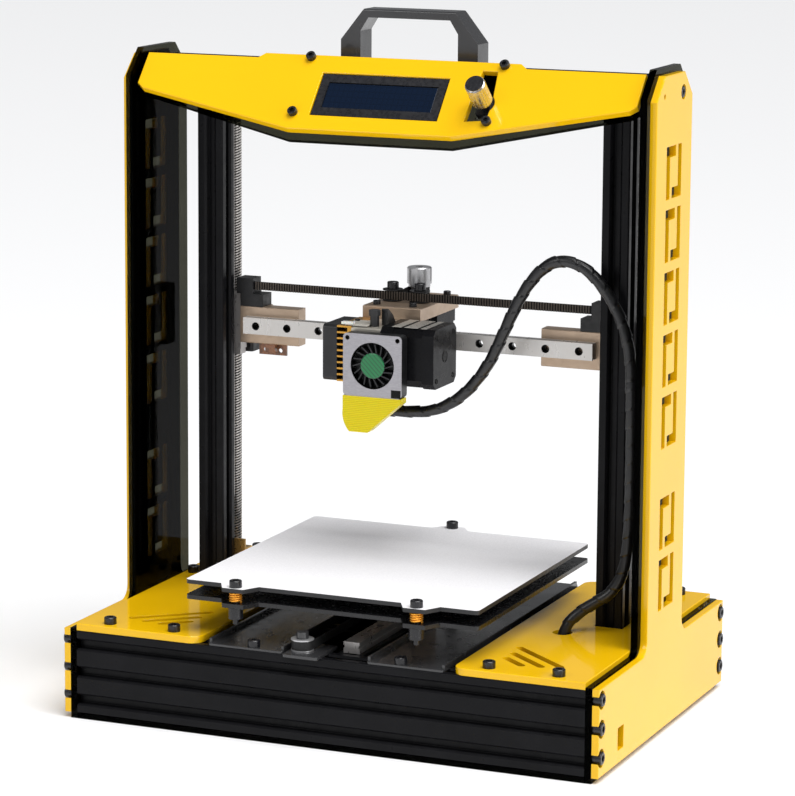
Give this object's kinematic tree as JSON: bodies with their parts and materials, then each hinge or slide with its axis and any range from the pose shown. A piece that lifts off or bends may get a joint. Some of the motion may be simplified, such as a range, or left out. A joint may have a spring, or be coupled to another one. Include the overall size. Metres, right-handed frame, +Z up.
{
  "type": "3d printer",
  "caption": "Desktop fused-filament printer with a portal frame, a gantry rising on twin lead screws, a moving bed, a tilted control panel, a carry handle and a sloping cable loom.",
  "frame": {"origin": "middle of the base's underside, on the table, halfway between the front and rear beams", "axes": "+X to the right seen from the front, +Y to the rear, +Z up"},
  "size_m": [0.4024, 0.274, 0.4965],
  "materials": {
    "yellow_acrylic": "high gloss cast acrylic sheet",
    "smoked_acrylic": "dark smoked gloss acrylic sheet",
    "black_anodised": "satin black anodised extrusion",
    "beige_anodised": "satin champagne anodised, bead blasted",
    "rail_steel": "ground bearing steel",
    "dark_steel": "gloss dark grey powder coat",
    "motor_black": "satin black",
    "black_plastic": "matte printed plastic",
    "screw_black": "black oxide",
    "screw_steel": "rolled steel thread",
    "silver": "turned aluminium",
    "gold_fins": "gold anodised fins",
    "belt_rubber": "matte toothed rubber",
    "spring_brass": "golden spring wire",
    "lemon_print": "layered print",
    "bed_grey": "brushed light grey build plate",
    "carrier_black": "satin black plate",
    "display_blue": "dark blue display in a black frame",
    "board_brown": "brown circuit board",
    "board_green": "green circuit board",
    "loom_black": "black spiral cable wrap",
    "fan_black": "moulded fan plastic",
    "brass_block": "machined brass"
  },
  "bodies": {
    "frame": {"bottom_panel": "smoked_acrylic", "base_beams": "black_anodised", "cross_beam": "black_anodised", "y_beam": "black_anodised", "inner_panels": "smoked_acrylic", "left_outer_panel": "yellow_acrylic", "right_outer_panel": "yellow_acrylic", "decks": "yellow_acrylic", "floor_trays": "dark_steel", "columns": "black_anodised", "top_beam": "black_anodised", "carry_handle": "dark_steel", "frame_rails": "rail_steel", "frame_motors": "motor_black", "z_endstop": "brass_block", "front_panel": "yellow_acrylic", "backing_panel": "smoked_acrylic", "display_module": "display_blue", "belt_brackets": "dark_steel", "y_belt": "belt_rubber", "controller_board": "board_green", "frame_screws": "screw_black", "loom_lower": "loom_black"},
    "left_screw": {"left_lead_screw": "screw_steel"},
    "right_screw": {"right_lead_screw": "screw_steel"},
    "encoder": {"encoder_shaft": "silver"},
    "knob": {"knob": "silver"},
    "y_idler": {"y_idler": "silver"},
    "y_pulley": {"y_pulley": "silver"},
    "gantry": {"x_guide_rail": "rail_steel", "x_brackets": "beige_anodised", "z_guide_blocks": "rail_steel", "nut_blocks": "black_plastic", "belt_clamps": "black_plastic", "x_belt": "belt_rubber", "x_endstop": "board_brown", "loom_upper": "loom_black"},
    "x_carriage": {"x_guide_block": "rail_steel", "carriage_plate": "beige_anodised", "x_motor": "motor_black", "x_belt_loop": "belt_rubber", "carriage_screws": "screw_black", "extruder_motor": "motor_black", "extruder_body": "black_plastic", "heatsink": "gold_fins", "fan_frame": "fan_black", "blower_case": "fan_black", "air_duct": "lemon_print", "hot_end": "brass_block"},
    "x_pulley": {"x_pulley": "silver"},
    "left_x_idler": {"left_x_idler": "silver"},
    "right_x_idler": {"right_x_idler": "silver"},
    "fan_rotor": {"fan_rotor": "fan_black"},
    "blower_impeller": {"blower_impeller": "fan_black"},
    "bed": {"heated_bed": "bed_grey", "bed_carrier": "carrier_black", "y_guide_block": "rail_steel", "bed_spacer": "beige_anodised", "level_springs": "spring_brass", "level_screws": "screw_black"}
  },
  "joints": [
    {"name": "z_axis", "type": "slide", "parent": "frame", "child": "gantry", "axis": [0, 0, 1], "range_m": [-0.094, 0.12], "deforming": ["loom_lower"]},
    {"name": "x_axis", "type": "slide", "parent": "gantry", "child": "x_carriage", "axis": [1, 0, 0], "range_m": [-0.084, 0.1], "deforming": ["loom_upper"]},
    {"name": "y_axis", "type": "slide", "parent": "frame", "child": "bed", "axis": [0, 1, 0], "range_m": [-0.074, 0.103]},
    {"name": "left_screw_turn", "type": "hinge", "parent": "frame", "child": "left_screw", "pos_m": [-0.155, 0.054, 0.25], "axis": [0, 0, 1], "continuous": true},
    {"name": "right_screw_turn", "type": "hinge", "parent": "frame", "child": "right_screw", "pos_m": [0.155, 0.054, 0.25], "axis": [0, 0, 1], "continuous": true},
    {"name": "y_pulley_turn", "type": "hinge", "parent": "frame", "child": "y_pulley", "pos_m": [-0.02, 0.091, 0.07], "axis": [0, 0, 1], "continuous": true},
    {"name": "y_idler_turn", "type": "hinge", "parent": "frame", "child": "y_idler", "pos_m": [-0.02, -0.124, 0.07], "axis": [0, 0, 1], "continuous": true},
    {"name": "x_pulley_turn", "type": "hinge", "parent": "x_carriage", "child": "x_pulley", "pos_m": [-0.0135, 0.0653, 0.29], "axis": [0, 0, 1], "continuous": true},
    {"name": "left_x_idler_turn", "type": "hinge", "parent": "x_carriage", "child": "left_x_idler", "pos_m": [-0.024, 0.041, 0.29], "axis": [0, 0, 1], "continuous": true},
    {"name": "right_x_idler_turn", "type": "hinge", "parent": "x_carriage", "child": "right_x_idler", "pos_m": [-0.003, 0.041, 0.29], "axis": [0, 0, 1], "continuous": true},
    {"name": "fan_spin", "type": "hinge", "parent": "x_carriage", "child": "fan_rotor", "pos_m": [-0.042, -0.008, 0.2565], "axis": [-1, 0, 0], "continuous": true},
    {"name": "blower_spin", "type": "hinge", "parent": "x_carriage", "child": "blower_impeller", "pos_m": [-0.00475, -0.036, 0.25175], "axis": [0, -1, 0], "continuous": true},
    {"name": "knob_push", "type": "slide", "parent": "frame", "child": "encoder", "axis": [0, 0.7495, -0.662], "range_m": [0, 0.0008], "stiffness_N_per_m": 2000},
    {"name": "knob_turn", "type": "hinge", "parent": "encoder", "child": "knob", "pos_m": [0.0775, -0.04329, 0.43975], "axis": [0, -0.7495, 0.662], "continuous": true}
  ],
  "couplings": [
    {"joint": "left_screw_turn", "follows": "z_axis", "rad_per_m": -785.4},
    {"joint": "right_screw_turn", "follows": "z_axis", "rad_per_m": -785.4},
    {"joint": "y_pulley_turn", "follows": "y_axis", "rad_per_m": 149.25},
    {"joint": "y_idler_turn", "follows": "y_axis", "rad_per_m": 149.25},
    {"joint": "x_pulley_turn", "follows": "x_axis", "rad_per_m": 149.25},
    {"joint": "left_x_idler_turn", "follows": "x_axis", "rad_per_m": -181.82},
    {"joint": "right_x_idler_turn", "follows": "x_axis", "rad_per_m": -181.82}
  ]
}
